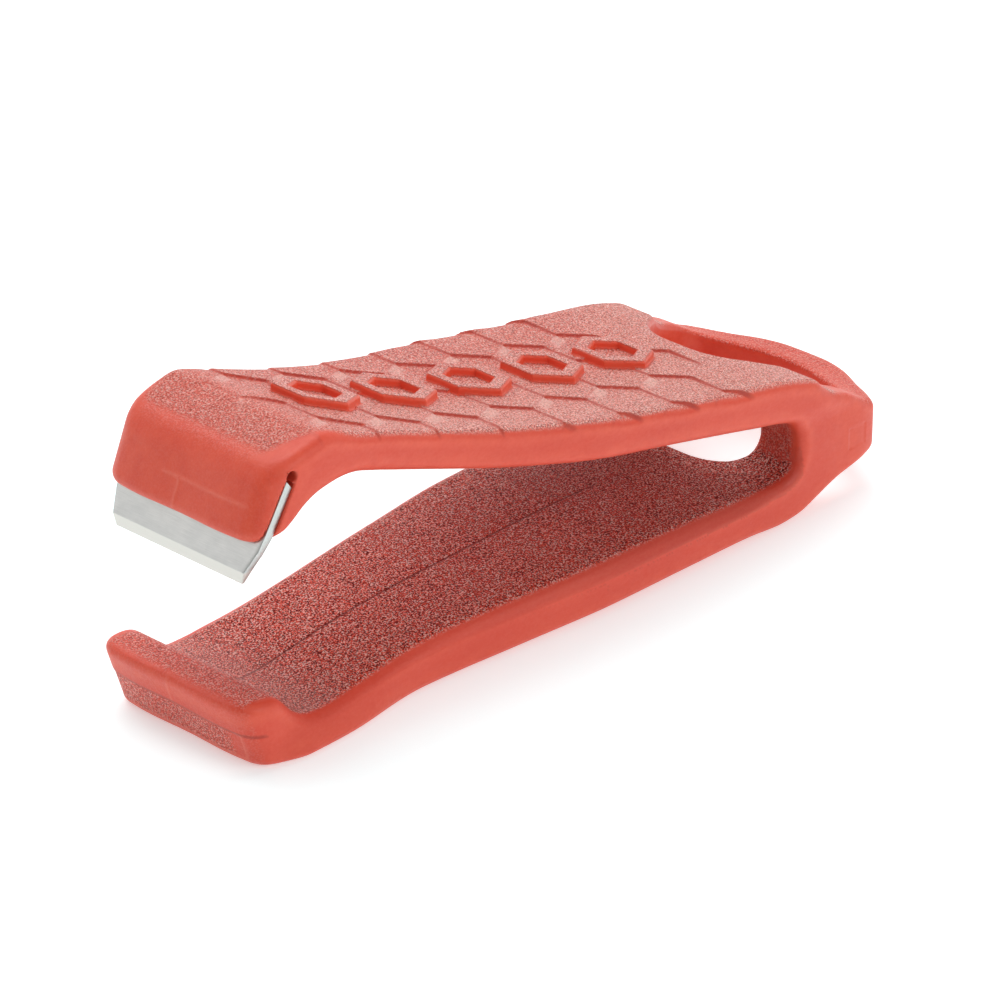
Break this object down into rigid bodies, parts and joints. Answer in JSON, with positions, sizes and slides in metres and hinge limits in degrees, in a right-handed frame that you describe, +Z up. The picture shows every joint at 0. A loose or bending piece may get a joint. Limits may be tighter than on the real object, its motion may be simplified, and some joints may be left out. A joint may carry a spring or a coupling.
{
  "type": "line nipper",
  "caption": "Squeeze-action line nipper: a moulded V-shaped spring body with a grip panel, an anvil lip, a lanyard opening and a thin steel blade set across the upper jaw.",
  "frame": {"origin": "centre of the overall box in plan, on the table plane under the flat underside", "axes": "+X from the jaws to the lanyard end, +Y across the width, +Z up from the underside towards the top panel"},
  "size_m": [0.0648, 0.0196, 0.0226],
  "materials": {
    "moulded_body": "red-orange moulded plastic, taken to be a filled nylon, satin moulded skin with a fine mould grain on the broad faces",
    "blade_steel": "thin tool steel strip, ground along the cutting edge"
  },
  "bodies": {
    "base": {"lower_arm": "moulded_body", "spring_bow": "moulded_body"},
    "upper": {"upper_arm": "moulded_body", "cutter_blade": "blade_steel"}
  },
  "joints": [
    {"name": "squeeze", "type": "hinge", "parent": "base", "child": "upper", "pos_m": [0.02287, 0, 0.0062], "axis": [0, -1, 0], "range_deg": [0, 9.15], "stiffness_Nm_per_rad": 2}
  ]
}
